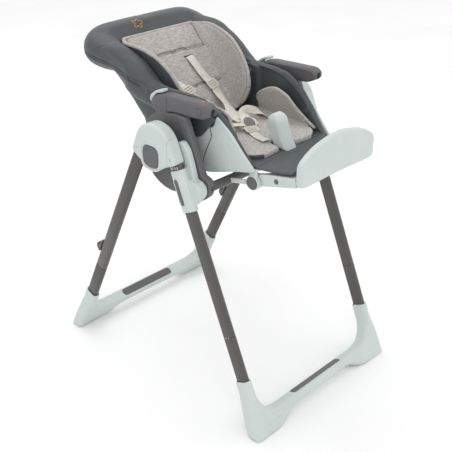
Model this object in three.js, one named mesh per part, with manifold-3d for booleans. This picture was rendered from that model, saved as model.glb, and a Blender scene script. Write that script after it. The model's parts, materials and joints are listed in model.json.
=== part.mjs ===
// Folding baby high chair with a reclining padded seat.
//
// Millimetres. +Z is up, +X is the child's left and the chair faces -Y. The origin is on the floor,
// in the middle of the chair's footprint. Every left piece is the mirror image of its right partner.

import * as THREE from 'three';
import { mergeVertices } from 'three/addons/utils/BufferGeometryUtils.js';
import { ConvexGeometry } from 'three/addons/geometries/ConvexGeometry.js';
import Module from 'manifold-3d';

const wasm = await Module();
wasm.setup();

// ---------------------------------------------------------------- driving dimensions

const GAP = 0.3; // between pieces that touch
const FLOOR_GAP = 3; // thickness of the rubber under the bases

const LEG = { x: 264.5, width: 20, depth: 40, wall: 1.5 }; // flat oval tube, centre plane at x
// floorY is where a leg's centre line meets the floor; barLow and barTop are heights along the leg.
const FRONT = { floorY: -387, lean: THREE.MathUtils.degToRad(-23.4), barLow: 24, barTop: 53 };
const REAR = { floorY: 402, lean: THREE.MathUtils.degToRad(25.6), barLow: 33, barTop: 60 };
const CENTRE_Y = 7.5; // middle of the footprint in the y used below

const BASE_TOP = 154; // height of the leg sockets
const LEG_JOINT = 272; // height where the lower tube plugs into the upper one
const SLEEVE = { width: 29, depth: 49 }; // plastic around a leg tube
const SLIDER = { bottom: 651, top: 765 }; // along the front leg
const HUB = { inner: 252, outer: 293, wall: 16, seamY: -72 };
const FOLD = { y: -9, z: 724 }; // folding axis, along x

const FRAME = { inner: 208, plate: 228, strut: 233, centreY: -5, centreZ: 714, radius: 112 };
const ARM = { inner: 191, outer: 227, seamY: -5 };
const CROSS = { y: -155, z: 660, radius: 12.5 };

const SEAT = { halfWidth: 183, wingInner: 171, rear: 58 };
const BACK = { y: 277, z: 939, slope: THREE.MathUtils.degToRad(47.6) }; // top edge of the liner
const LEGREST = { y: -249, z: 684, tilt: THREE.MathUtils.degToRad(-13) }; // pivot, rising forwards
const LEGREST_ARM = { inner: 132, outer: 150, front: -133 };
const FOOTPLATE = { front: -398, bottom: 706, crown: 820, shoulder: 770, halfWidth: 150 };

// ---------------------------------------------------------------- materials

const paints = {
  mint: { color: 0xcdd7d5, roughness: 0.42, metalness: 0 },
  darkPlastic: { color: 0x5f5f61, roughness: 0.55, metalness: 0 },
  tube: { color: 0x55524f, roughness: 0.4, metalness: 0.6 },
  rubber: { color: 0x2b2b2c, roughness: 0.9, metalness: 0 },
  steel: { color: 0xa9abad, roughness: 0.35, metalness: 0.9 },
  slate: { color: 0x4b5052, roughness: 0.6, metalness: 0 },
  melange: { color: 0xaaa5a0, roughness: 0.95, metalness: 0 },
  webbing: { color: 0xd7d2c8, roughness: 0.8, metalness: 0 },
};

function paint(name) {
  return new THREE.MeshStandardMaterial(paints[name]);
}

// ---------------------------------------------------------------- shapes and solids

const CURVE_STEPS = 3;
const OVAL_STEPS = 5;
const WIDE_BEVEL = 9; // bevels wider than this get two facets

// A closed outline from corners [u, v, cut]: cut is how far back from the corner its rounding starts,
// which is never more than half of a side.
function outline(corners) {
  const shape = new THREE.Shape();
  const count = corners.length;
  for (let i = 0; i < count; i++) {
    const corner = new THREE.Vector2(corners[i][0], corners[i][1]);
    const before = new THREE.Vector2(...corners[(i + count - 1) % count].slice(0, 2)).sub(corner);
    const after = new THREE.Vector2(...corners[(i + 1) % count].slice(0, 2)).sub(corner);
    const cut = Math.min(corners[i][2] ?? 0, 0.48 * before.length(), 0.48 * after.length());
    const start = corner.clone().add(before.setLength(cut));
    const end = corner.clone().add(after.setLength(cut));
    if (i === 0) shape.moveTo(start.x, start.y);
    else shape.lineTo(start.x, start.y);
    if (cut > 0) shape.quadraticCurveTo(corner.x, corner.y, end.x, end.y);
  }
  shape.closePath();
  return shape;
}

// An outline that is the same on both sides of x = 0, from the corners of its right half.
function mirroredOutline(half) {
  const other = half.filter(([x]) => x > 0).map(([x, z, cut]) => [-x, z, cut]).reverse();
  return outline([...half, ...other]);
}

// A flat oval, width along u and depth along v, with half-round ends.
function ovalShape(width, depth, u = 0, v = 0) {
  const shape = new THREE.Shape();
  const radius = width / 2;
  const straight = (depth - width) / 2;
  shape.absarc(u, v + straight, radius, 0, Math.PI);
  shape.absarc(u, v - straight, radius, Math.PI, 2 * Math.PI);
  shape.closePath();
  return shape;
}

function discShape(u, v, radius) {
  const shape = new THREE.Shape();
  shape.absarc(u, v, radius, 0, 2 * Math.PI);
  return shape;
}

// A slab of the shape between two heights along local z, its edges rounded by bevel.
function slab(shape, from, to, bevel = 0, curveSegments = CURVE_STEPS) {
  const geometry = new THREE.ExtrudeGeometry(shape, {
    depth: to - from - 2 * bevel,
    bevelEnabled: bevel > 0,
    bevelThickness: bevel,
    bevelSize: bevel,
    bevelOffset: -bevel,
    bevelSegments: bevel > WIDE_BEVEL ? 2 : 1,
    curveSegments,
  });
  return geometry.translate(0, 0, from + bevel);
}

const AXIS_X = new THREE.Vector3(1, 0, 0);
const AXIS_Y = new THREE.Vector3(0, 1, 0);
const AXIS_Z = new THREE.Vector3(0, 0, 1);
const SIDE_VIEW = new THREE.Matrix4().makeBasis(AXIS_Y, AXIS_Z, AXIS_X);
const FRONT_VIEW = new THREE.Matrix4().makeBasis(AXIS_X, AXIS_Z, AXIS_Y.clone().negate());

// Slabs drawn in the side view (y, z) from x0 to x1, and in the front view (x, z) from y0 to y1.
function sideSlab(shape, x0, x1, bevel = 0, steps = CURVE_STEPS) {
  return slab(shape, x0, x1, bevel, steps).applyMatrix4(SIDE_VIEW);
}

function frontSlab(shape, y0, y1, bevel = 0, steps = CURVE_STEPS) {
  return slab(shape, -y1, -y0, bevel, steps).applyMatrix4(FRONT_VIEW);
}

function sideRod(y, z, radius, x0, x1, bevel = 0) {
  const steps = radius > 30 ? 14 : 8;
  return sideSlab(discShape(y, z, radius), x0, x1, bevel, steps);
}

function box(x0, x1, y0, y1, z0, z1) {
  const geometry = new THREE.BoxGeometry(x1 - x0, y1 - y0, z1 - z0);
  return geometry.translate((x0 + x1) / 2, (y0 + y1) / 2, (z0 + z1) / 2);
}

function welded(geometry) {
  const bare = geometry.clone();
  bare.deleteAttribute('normal');
  bare.deleteAttribute('uv');
  return mergeVertices(bare, 1e-4);
}

function solid(geometry) {
  const bare = welded(geometry);
  const mesh = new wasm.Mesh({
    numProp: 3,
    vertProperties: bare.attributes.position.array,
    triVerts: new Uint32Array(bare.index.array),
  });
  return new wasm.Manifold(mesh);
}

function geometryOf(manifold) {
  const { vertProperties, triVerts } = manifold.getMesh();
  const geometry = new THREE.BufferGeometry();
  geometry.setAttribute('position', new THREE.BufferAttribute(vertProperties, 3));
  geometry.setIndex(new THREE.BufferAttribute(triVerts, 1));
  return geometry;
}

function joined(first, ...others) {
  return geometryOf(others.reduce((whole, part) => whole.add(solid(part)), solid(first)));
}

function cut(first, ...tools) {
  return geometryOf(tools.reduce((whole, tool) => whole.subtract(solid(tool)), solid(first)));
}

function common(first, second) {
  return geometryOf(solid(first).intersect(solid(second)));
}

// ---------------------------------------------------------------- the assembly's frames

const chair = new THREE.Group();
chair.position.y = -CENTRE_Y;

function frameAt(y, z, angle) {
  const group = new THREE.Group();
  group.position.set(0, y, z);
  group.rotation.x = angle;
  chair.add(group);
  return group;
}

// In a leg's frame x is across the chair, y is across the leg and z runs up its centre line.
const frontLeg = frameAt(FRONT.floorY, 0, FRONT.lean);
const rearLeg = frameAt(REAR.floorY, 0, REAR.lean);
// In the backrest's frame y runs up the back and z points at the child.
const backrest = frameAt(BACK.y, BACK.z, BACK.slope);
const legrest = frameAt(LEGREST.y, LEGREST.z, LEGREST.tilt);

function add(name, geometry, colour, parent = chair) {
  const mesh = new THREE.Mesh(welded(geometry.index ? geometry.toNonIndexed() : geometry), paint(colour));
  mesh.name = name;
  parent.add(mesh);
}

const SIDES = { right: -1, left: 1 };

// One copy of the geometry on each side of the chair, named name_right and name_left.
function addPair(name, geometry, colour, parent = chair) {
  for (const [side, sign] of Object.entries(SIDES)) {
    const half = new THREE.Group();
    half.scale.x = sign;
    parent.add(half);
    add(`${name}_${side}`, geometry, colour, half);
  }
}

// Moves a geometry drawn in the chair's own coordinates into a frame's coordinates.
function intoFrame(geometry, frame) {
  frame.updateMatrix();
  return geometry.applyMatrix4(frame.matrix.clone().invert());
}

function alongLeg(height, leg) {
  return height / Math.cos(leg.lean);
}

// ---------------------------------------------------------------- legs and bases

function ovalTube(from, to) {
  const section = ovalShape(LEG.width, LEG.depth, LEG.x);
  section.holes.push(ovalShape(LEG.width - 2 * LEG.wall, LEG.depth - 2 * LEG.wall, LEG.x));
  return slab(section, from, to, 0, OVAL_STEPS);
}

function ovalBar(width, depth, from, to, bevel = 0) {
  return slab(ovalShape(width, depth, LEG.x), from, to, bevel, OVAL_STEPS);
}

const SOCKET_FLOOR = 118; // height of the bottom of a leg socket

// U-shaped base: two feet with leg sockets, joined by a crossbar that is clear of the floor.
function baseBody(leg, frame) {
  const { barLow, barTop } = leg;
  const at = (height) => alongLeg(height, leg);
  const sleeveInner = LEG.x - SLEEVE.width / 2;
  const sleeveOuter = LEG.x + SLEEVE.width / 2;
  const half = [
    [0, barLow],
    [132, barLow, 16],
    [166, barLow - 20, 22],
    [212, -14],
    [294, -14, 12],
    [292, 58, 20],
    [sleeveOuter, at(130), 25],
    [sleeveOuter - 1, at(BASE_TOP - 4)],
    [sleeveInner + 1, at(BASE_TOP - 4)],
    [sleeveInner - 1, barTop + 52, 24],
    [224, barTop + 10, 28],
    [184, barTop, 24],
    [0, barTop],
  ];
  const halfDepth = 20;
  const body = frontSlab(mirroredOutline(half), -halfDepth, halfDepth, 6);
  const sockets = [];
  const bores = [];
  for (const sign of Object.values(SIDES)) {
    const collar = ovalBar(SLEEVE.width, SLEEVE.depth, at(96), at(BASE_TOP), 1.5);
    const bore = ovalBar(LEG.width + 2 * GAP, LEG.depth + 2 * GAP, at(SOCKET_FLOOR), at(BASE_TOP) + 5);
    const shift = sign < 0 ? -2 * LEG.x : 0;
    sockets.push(collar.translate(shift, 0, 0));
    bores.push(bore.translate(shift, 0, 0));
    bores.push(frontSlab(footRecess(sign), -halfDepth - 5, -halfDepth + 1.5));
  }
  const reach = 400;
  const ground = intoFrame(box(-reach, reach, leg.floorY - reach, leg.floorY + reach, -90, FLOOR_GAP), frame);
  return cut(joined(body, ...sockets), ...bores, ground, gripStrip(leg, GAP, 5));
}

// Shallow panel sunk into the front of each foot.
function footRecess(sign) {
  return outline([
    [sign * 262, 25, 2],
    [sign * 258, 13, 2],
    [sign * 190, 13, 2],
    [sign * 176, 25, 2],
  ]);
}

// Dark anti-slip strip let into the upper face of a crossbar.
function gripStrip(leg, clearance, proud = 0.6) {
  const halfLength = 107 + clearance;
  const halfWidth = 13 + clearance;
  const plan = mirroredOutline([
    [halfLength, -halfWidth, 12],
    [halfLength, halfWidth, 12],
  ]);
  return slab(plan, leg.barTop - 6 - clearance, leg.barTop + proud);
}

function footPad(leg) {
  const pad = outline([
    [214, leg.floorY - 15, 4],
    [264, leg.floorY - 15, 4],
    [264, leg.floorY + 15, 4],
    [214, leg.floorY + 15, 4],
  ]);
  return slab(pad, 0, FLOOR_GAP - GAP);
}

const SPIGOT = 32; // length of the lower tube's reduced end

function lowerLeg(leg) {
  const seat = alongLeg(SOCKET_FLOOR, leg) + GAP;
  const joint = alongLeg(LEG_JOINT, leg);
  const width = LEG.width - 2 * LEG.wall - 2 * GAP;
  const depth = LEG.depth - 2 * LEG.wall - 2 * GAP;
  return joined(ovalBar(LEG.width, LEG.depth, seat, joint), ovalBar(width, depth, joint - 5, joint + SPIGOT));
}

const FRONT_LEG_TOP = 838;
const REAR_LEG_TOP = 790;

function addLegsAndBases() {
  add('front_base', baseBody(FRONT, frontLeg), 'mint', frontLeg);
  add('front_base_grip', gripStrip(FRONT, 0), 'darkPlastic', frontLeg);
  addPair('front_foot_pad', footPad(FRONT), 'rubber');
  addPair('front_leg_lower', lowerLeg(FRONT), 'tube', frontLeg);
  addPair('front_leg', ovalTube(alongLeg(LEG_JOINT, FRONT) + 1, FRONT_LEG_TOP), 'tube', frontLeg);

  add('rear_base', baseBody(REAR, rearLeg), 'mint', rearLeg);
  add('rear_base_grip', gripStrip(REAR, 0), 'darkPlastic', rearLeg);
  addPair('rear_foot_pad', footPad(REAR), 'rubber');
  addPair('rear_leg_lower', lowerLeg(REAR), 'tube', rearLeg);
  addPair('rear_leg', ovalTube(alongLeg(LEG_JOINT, REAR) + 1, REAR_LEG_TOP), 'tube', rearLeg);
  addPair('rear_leg_head', rearLegHead(), 'darkPlastic', rearLeg);
  addPair('tray_hook', trayHook(), 'darkPlastic', rearLeg);
}

// The rear leg's bearing plate: an eye on the fold axis and a plug in the tube's top end.
function rearLegHead() {
  const eye = intoFrame(new THREE.BufferGeometry().setFromPoints([new THREE.Vector3(0, FOLD.y, FOLD.z)]), rearLeg);
  const eyeY = eye.attributes.position.getY(0);
  const eyeZ = eye.attributes.position.getZ(0);
  const top = REAR_LEG_TOP + GAP;
  const web = outline([
    [-19, top],
    [19, top],
    [12, top + 7, 4],
    [eyeY + 20, eyeZ + 18, 6],
    [eyeY - 20, eyeZ - 20, 6],
  ]);
  const plate = joined(sideRod(eyeY, eyeZ, 28, 257.5, 273.3), sideSlab(web, 257.5, 273.3));
  const plug = ovalBar(LEG.width - 4, LEG.depth - 4, top - 45, top + 8);
  return cut(joined(plate, plug), sideRod(eyeY, eyeZ, AXLE_RADIUS + GAP, 250, 280));
}

const AXLE_RADIUS = 8;

// Hook on the back of each rear leg, where the tray hangs when it is not in use.
function trayHook() {
  const face = LEG.depth / 2 + GAP;
  const hook = outline([
    [face, 353],
    [face + 6, 353, 2],
    [face + 18, 361, 4],
    [face + 19, 376, 4],
    [face + 13, 377, 3],
    [face + 10, 368, 3],
    [face + 6, 398, 4],
    [face, 400],
  ]);
  return sideSlab(hook, LEG.x - 9, LEG.x + 9, 1);
}

// ---------------------------------------------------------------- folding hub

const CAP_FRONT_TOP = [-73, 788];
const CAP_FRONT_BOTTOM = [-100.2, 724.7];
const CAP_REAR_BOTTOM = [-54, 704];

function hubOutline() {
  return outline([
    [70, 722, 10],
    [54, 762, 18],
    [36, 798, 22],
    [-8, 819, 24],
    [-50, 809, 18],
    [...CAP_FRONT_TOP, 14],
    [...CAP_FRONT_BOTTOM, 9],
    [...CAP_REAR_BOTTOM, 8],
    [-20, 680, 12],
    [6, 680, 12],
    [28, 698, 10],
  ]);
}

// Space inside the cover for the rear leg's head, open downwards so that the leg can swing.
function hubCavity() {
  return outline([
    [-71, 670],
    [-27, 772, 6],
    [-14, 807, 12],
    [26, 794, 14],
    [48, 757, 8],
    [64, 734, 2],
    [84, 722],
    [120, 700],
    [60, 600],
    [-71, 600],
  ]);
}

function buttonShape(size) {
  const reach = 30 + size;
  return outline([
    [FOLD.y - reach, FOLD.z - reach, 24],
    [FOLD.y + reach, FOLD.z - reach, 24],
    [FOLD.y + reach, FOLD.z + reach, 22],
    [FOLD.y - reach, FOLD.z + reach, 12],
  ]);
}

function legBoreInChair(clearance) {
  const bore = ovalBar(LEG.width + clearance, LEG.depth + clearance, 700, FRONT_LEG_TOP + GAP);
  frontLeg.updateMatrix();
  return bore.applyMatrix4(frontLeg.matrix);
}

function addHub() {
  const cavityRoof = HUB.outer - HUB.wall;
  const shell = sideSlab(hubOutline(), HUB.inner, HUB.outer, 6);
  const behindSeam = box(200, 300, HUB.seamY, 200, 500, 900);
  const aheadOfSeam = box(200, 300, -300, HUB.seamY - GAP, 500, 900);
  const web = outline([
    [FOLD.y - 12, FOLD.z - 22, 10],
    [FOLD.y + 22, FOLD.z - 22, 14],
    [FOLD.y + 22, FOLD.z + 22, 14],
    [-30, FOLD.z + 40],
    [-62, FOLD.z - 6],
  ]);
  const hollow = cut(
    common(shell, behindSeam),
    sideSlab(hubCavity(), HUB.inner - 5, cavityRoof),
  );
  const braced = joined(hollow, sideSlab(web, HUB.inner, HUB.inner + 5));
  const cover = cut(
    braced,
    legBoreInChair(2 * GAP),
    sideSlab(buttonShape(GAP), cavityRoof - 5, HUB.outer + 5),
    sideRod(FOLD.y, FOLD.z, AXLE_RADIUS + GAP, HUB.inner - 5, HUB.outer),
  );
  addPair('hub_cover', cover, 'mint');
  addPair('hub_leg_cap', cut(common(shell, aheadOfSeam), legBoreInChair(2 * GAP)), 'mint');

  const flange = sideRod(FOLD.y, FOLD.z, 22, 273.8, cavityRoof - GAP);
  addPair('fold_axle', joined(sideRod(FOLD.y, FOLD.z, AXLE_RADIUS, HUB.inner - 3, 275), flange), 'steel');
  addPair('fold_button', sideSlab(buttonShape(0), cavityRoof + 7, HUB.outer + 1.5, 2), 'darkPlastic');
}

// ---------------------------------------------------------------- height adjustment

// Release oval on the outside of the slider, in the front leg's frame.
function leverShape(size) {
  return ovalShape(13 + 2 * size, 74 + 2 * size, 0, 708);
}

function addHeightSlider() {
  const sleeve = ovalBar(SLEEVE.width, SLEEVE.depth, SLIDER.bottom, SLIDER.top, 1.5);
  const fin = outline([
    [-5, 690],
    [-30, 690, 8],
    [-39, 765, 10],
    [-41, 808, 10],
    [-32, 832, 10],
    [-10, 834, 10],
  ]);
  const earY = -29.7;
  const earZ = 700.8;
  const bridge = outline([
    [-5, earZ - 40],
    [earY - 8, earZ - 24],
    [earY - 8, earZ + 24],
    [-5, earZ + 40],
  ]);
  const finInner = FRAME.strut + 1.5;
  const bulge = sideSlab(ovalShape(24, 92, 0, 708), 270, 283, 3);
  const body = joined(
    sleeve,
    sideSlab(fin, finInner, 251.4, 2),
    sideRod(earY, earZ, 25, finInner, 262, 2),
    sideSlab(bridge, finInner, 262),
    bulge,
  );
  const slider = cut(
    body,
    ovalBar(LEG.width + 1, LEG.depth + 1, SLIDER.bottom - 5, SLIDER.top + 5),
    sideSlab(leverShape(GAP), 276.5, 290),
  );
  addPair('height_slider', slider, 'mint', frontLeg);
  addPair('height_lever', sideSlab(leverShape(0), 279.5, 285, 1), 'darkPlastic', frontLeg);
}

// ---------------------------------------------------------------- side frames and arms

function armOutline() {
  return outline([
    [60, 824, 11],
    [59, 846, 10],
    [40, 864, 14],
    [10, 873, 14],
    [-60, 876, 20],
    [-140, 880, 12],
    [-159, 870, 11],
    [-157, 851, 9],
    [-132, 838, 12],
    [-80, 833, 10],
    [-30, 831],
    [0, 824],
  ]);
}

function addSideFrames() {
  const disc = sideRod(FRAME.centreY, FRAME.centreZ, FRAME.radius, FRAME.inner, FRAME.plate - 6, 3);
  const plate = outline([
    [46, 835],
    [30, 800, 20],
    [10, 760, 20],
    [-60, 690, 20],
    [-104, 690, 8],
    [-76, 790, 10],
    [-58, 835],
  ]);
  const strutCentre = -34;
  const strut = outline([
    [strutCentre - 12, 690],
    [strutCentre + 12, 690],
    [strutCentre + 12, 894],
    [strutCentre - 12, 890],
  ]);
  frontLeg.updateMatrix();
  const strutSlab = sideSlab(strut, FRAME.inner + 4, FRAME.strut, 3).applyMatrix4(frontLeg.matrix);
  const lobe = outline([
    [-108, 696, 10],
    [-86, 640, 16],
    [-104, 612, 16],
    [-132, 614, 12],
    [-168, 644, 18],
    [-166, 682, 14],
    [-142, 690, 8],
  ]);
  const arm = sideSlab(armOutline(), ARM.inner, ARM.outer, 5);
  const rearOfSeam = box(150, 260, ARM.seamY, 200, 500, 950);
  const aheadOfSeam = box(150, 260, -300, ARM.seamY - GAP, 500, 950);
  const armClearance = cut(sideSlab(armOutline(), ARM.inner - GAP, 260), rearOfSeam);
  const frame = cut(
    joined(
      disc,
      sideSlab(plate, FRAME.inner + 4, FRAME.plate, 2),
      strutSlab,
      sideSlab(lobe, FRAME.inner + 4, FRAME.strut, 4),
    ),
    armClearance,
    sideRod(CROSS.y, CROSS.z, CROSS.radius + GAP, FRAME.inner - 20, FRAME.strut - 8),
  );
  addPair('side_frame', joined(frame, common(arm, rearOfSeam)), 'darkPlastic');

  const socket = frontSlab(ovalShape(14, 21, 209, 858), -180, -96, 0, 6);
  const buttonHole = sideRod(-122, 857, 9 + GAP, ARM.outer - 7, ARM.outer + 5);
  addPair('arm', cut(common(arm, aheadOfSeam), socket, buttonHole), 'darkPlastic');
  addPair('arm_button', sideRod(-122, 857, 9, ARM.outer - 4, ARM.outer + 0.8, 0.8), 'darkPlastic');

  const tab = outline([
    [61 + GAP, 838],
    [70, 842, 4],
    [66, 858, 6],
    [44, 874, 8],
    [18, 882, 4],
    [18, 873.5],
    [42, 865.5],
    [60, 848],
  ]);
  addPair('arm_tab', cut(sideSlab(tab, 198, 220, 2), sideSlab(armOutline(), 190, 230)), 'mint');
  add('seat_cross_tube', sideRod(CROSS.y, CROSS.z, CROSS.radius, -(FRAME.strut - 9), FRAME.strut - 9), 'tube');
}

// ---------------------------------------------------------------- seat

const CAP_RADIUS = 17;
// The seat's sides draw in towards the front: each moves inwards this much per mm ahead of start.
const TAPER = { start: 60, slope: 0.095, from: 100 };

function tapered(geometry) {
  const moved = geometry.clone();
  const position = moved.attributes.position;
  for (let i = 0; i < position.count; i += 1) {
    const x = position.getX(i);
    const ahead = Math.max(0, TAPER.start - position.getY(i));
    if (Math.abs(x) > TAPER.from) {
      position.setX(i, x - Math.sign(x) * TAPER.slope * ahead);
    }
  }
  return moved;
}

function seatPan() {
  const floor = outline([
    [-262, 717, 3],
    [-190, 697],
    [-105, 672, 10],
    [50, 672, 14],
    [64, 690, 6],
    [64, 700],
    [-90, 700],
    [-262, 719],
  ]);
  const rail = outline([
    [-262, 690],
    [-250, 674],
    [-158, 655],
    [-158, 667],
    [-228, 684, 6],
    [-234, 712],
    [-256, 717],
  ]);
  const pieces = [];
  const holes = [];
  for (const sign of Object.values(SIDES)) {
    const [low, high] = sign < 0 ? [-157, -150.6] : [150.6, 157];
    const [bossLow, bossHigh] = sign < 0 ? [-166, -150.6] : [150.6, 166];
    const [holeLow, holeHigh] = sign < 0 ? [-170, -155] : [155, 170];
    pieces.push(sideSlab(rail, low, high));
    pieces.push(sideRod(LEGREST.y, LEGREST.z, 20, bossLow, bossHigh, 1.5));
    holes.push(sideRod(LEGREST.y, LEGREST.z, CAP_RADIUS + GAP, holeLow, holeHigh));
  }
  const crossTube = sideRod(CROSS.y, CROSS.z, CROSS.radius + GAP, -200, 200);
  for (const sign of Object.values(SIDES)) {
    const edges = [sign * SEAT.halfWidth, sign * (SEAT.halfWidth + 8)].sort((a, b) => a - b);
    holes.push(tapered(sideSlab(panelOutline(), ...edges)));
  }
  const tray = tapered(sideSlab(floor, -SEAT.halfWidth, SEAT.halfWidth));
  return cut(joined(tray, ...pieces), ...holes, crossTube);
}

function panelOutline() {
  return outline([
    [-130, 834, 6],
    [-176, 799, 20],
    [-212, 757, 20],
    [-254, 715, 6],
    [-244, 709, 6],
    [-194, 698, 10],
    [-105, 672, 12],
    [50, 672, 16],
    [66, 700, 10],
    [40, 760, 30],
    [-40, 792, 30],
    [-118, 800, 10],
  ]);
}

function sidePanel() {
  return tapered(sideSlab(panelOutline(), SEAT.halfWidth + GAP, SEAT.halfWidth + 7, 1.5));
}

function seatCushion() {
  const base = outline([
    [-258, 719.5],
    [-90, 702],
    [SEAT.rear, 702],
    [SEAT.rear, 717, 4],
    [-230, 722],
    [-258, 723],
  ]);
  const wing = outline([
    [-246, 719],
    [-90, 703],
    [40, 703],
    [40, 856, 12],
    [-20, 864, 20],
    [-88, 860, 20],
    [-142, 834, 25],
    [-182, 797, 20],
    [-218, 750, 20],
  ]);
  const outer = SEAT.halfWidth - GAP;
  return tapered(
    joined(
      sideSlab(base, -outer, outer),
      sideSlab(wing, SEAT.wingInner, outer, 2),
      sideSlab(wing, -outer, -SEAT.wingInner, 2),
    ),
  );
}

function seatLiner() {
  const plan = mirroredOutline([
    [0, -186],
    [28, -186, 8],
    [32, -228, 10],
    [132, -232, 30],
    [164, -200, 30],
    [168, -110, 20],
    [168, 42, 10],
    [0, 42],
  ]);
  const hip = outline([
    [-200, 724],
    [14, 724],
    [14, 775, 20],
    [-24, 808, 20],
    [-78, 830, 30],
    [-126, 816, 20],
    [-150, 780, 30],
  ]);
  return tapered(
    joined(
      slab(plan, 722.8, 738, 2),
      sideSlab(hip, 158, 168, 2),
      sideSlab(hip, -168, -158, 2),
    ),
  );
}

function crotchPost() {
  const profile = outline([
    [-243, 723.5],
    [-218, 771, 20],
    [-207, 804, 16],
    [-190, 819, 9],
    [-172, 808, 12],
    [-168, 782, 16],
    [-178, 758, 16],
    [-197, 723.5],
  ]);
  const face = mirroredOutline([
    [24, 700],
    [24, 800, 14],
    [13, 816, 8],
    [0, 819],
  ]);
  return common(sideSlab(profile, -24, 24, 6), frontSlab(face, -260, -150));
}

function addSeat() {
  add('seat_pan', seatPan(), 'mint');
  addPair('seat_side_panel', sidePanel(), 'mint');
  add('seat_cushion', seatCushion(), 'slate');
  add('seat_liner', seatLiner(), 'melange');
  add('crotch_post', crotchPost(), 'mint');
  const buckle = outline([
    [-24, -104, 10],
    [24, -104, 10],
    [18, -58, 8],
    [-18, -58, 8],
  ]);
  add('harness_buckle', slab(buckle, 738.4, 752, 3), 'webbing');
}

// ---------------------------------------------------------------- backrest

// The padded back is a bucket: a sloping panel, a thick rolled head end and two side wings.
const PAD = { rear: -30, front: -1, foot: -296 };
const WING = { inner: 152, outer: 222, roll: 8 };
const HEAD = { rear: -83, middle: -42 };
// The stiff shell behind the padding is flat at the head and comes forward to the seat.
const SHELL = { front: -30, thickness: 14, bend: -150, foot: -294, footFront: -14 };

function panelPlan() {
  return mirroredOutline([
    [0, PAD.foot],
    [150, PAD.foot, 12],
    [152, -200, 20],
    [170, -120, 20],
    [180, -20],
    [0, -20],
  ]);
}

function headPlan(inset) {
  return mirroredOutline([
    [0, -40],
    [226 - inset, -40, 40],
    [226 - inset, 60 - inset, 60],
    [118 - inset, 86 - inset, 60],
    [0, 89 - inset],
  ]);
}

// The roll at the head end is barrel-shaped: fullest at its middle height.
function headRoll() {
  const layers = [
    [0, 14],
    [9, 31],
    [26, 41],
  ];
  const points = [];
  for (const [inset, half] of layers) {
    const layer = welded(slab(headPlan(inset), HEAD.middle - half, HEAD.middle + half));
    const position = layer.attributes.position;
    for (let i = 0; i < position.count; i += 1) {
      points.push(new THREE.Vector3().fromBufferAttribute(position, i));
    }
  }
  return new ConvexGeometry(points);
}

// Side view of a wing: its upper edge runs nearly level from the head to the arm.
function wingProfile() {
  return outline([
    [48, -22, 24],
    [-4, 24, 26],
    [-71, 62, 26],
    [-147, 94, 30],
    [-147, 14, 30],
    [-49, -12, 20],
    [3, -56, 20],
    [48, -80, 24],
  ]);
}

function shellLine(offset) {
  const slope = (SHELL.footFront - SHELL.front) / (SHELL.foot - SHELL.bend);
  const end = SHELL.foot - 20;
  const head = 60;
  return [
    [head, SHELL.front + offset],
    [SHELL.bend, SHELL.front + offset],
    [end, SHELL.front + offset + slope * (end - SHELL.bend)],
    [end, HEAD.rear - 40],
    [head, HEAD.rear - 40],
  ];
}

function behindShellLine(offset) {
  return sideSlab(outline(shellLine(offset)), -300, 300);
}

function shellPlan(inset, foot) {
  return mirroredOutline([
    [0, foot],
    [136 - inset, foot, 12],
    [142 - inset, -190, 20],
    [160 - inset, -60, 20],
    [146 - inset, 18 - inset, 24],
    [0, 24 - inset],
  ]);
}

function shellBlock(inset, foot) {
  return slab(shellPlan(inset, foot), HEAD.rear - 30, 0);
}

function addBackrest() {
  const linerPocket = mirroredOutline([
    [0, -400],
    [151, -400],
    [WING.inner, -60, 20],
    [150, 6, 30],
    [0, 8],
  ]);
  const pad = cut(
    joined(
      slab(panelPlan(), PAD.rear, PAD.front),
      headRoll(),
      sideSlab(wingProfile(), WING.inner, WING.outer, WING.roll),
      sideSlab(wingProfile(), -WING.outer, -WING.inner, WING.roll),
    ),
    slab(linerPocket, PAD.front, 150),
    common(shellBlock(0, SHELL.foot - 20), behindShellLine(0)),
  );
  add('backrest_cushion', pad, 'slate', backrest);

  const shell = common(shellBlock(1.5, SHELL.foot), behindShellLine(-GAP));
  const back = SHELL.front - SHELL.thickness;
  const handleWell = mirroredOutline([
    [66, -52, 8],
    [66, 2, 8],
  ]);
  const wellFloor = back + 8;
  const hollowed = cut(shell, behindShellLine(-SHELL.thickness - GAP), slab(handleWell, back - 10, wellFloor));
  add('backrest_shell', hollowed, 'darkPlastic', backrest);
  const handle = mirroredOutline([
    [58, -44, 10],
    [58, -16, 10],
  ]);
  add('recline_handle', slab(handle, back - 12, wellFloor - GAP, 4), 'mint', backrest);

  const panel = mirroredOutline([
    [0, -294],
    [130, -294, 10],
    [148, -200, 20],
    [150, -40, 30],
    [134, 2, 20],
    [0, 2],
  ]);
  const wing = outline([
    [-292, 3],
    [-292, 40, 16],
    [-266, 88, 20],
    [-206, 112, 30],
    [-120, 108, 30],
    [-60, 74, 30],
    [-6, 12, 8],
    [-4, 3],
  ]);
  const liner = joined(
    slab(panel, 0, 16, 3),
    sideSlab(wing, 136, 150, 3),
    sideSlab(wing, -150, -136, 3),
  );
  add('backrest_liner', liner, 'melange', backrest);
}

// ---------------------------------------------------------------- legrest and footplate

const STEM = { inner: 136.4, outer: 145.6, bottom: -3, top: 12, rear: -62 };

function legrestArm(low, high) {
  const arm = outline([
    [14, -13, 4],
    [-24, -12, 8],
    [LEGREST_ARM.front, -8],
    [LEGREST_ARM.front, 18],
    [-40, 21, 8],
    [0, 18, 6],
  ]);
  return joined(sideSlab(arm, low, high, 1.5), sideRod(0, 0, 19, low, high, 1.5));
}

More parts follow.
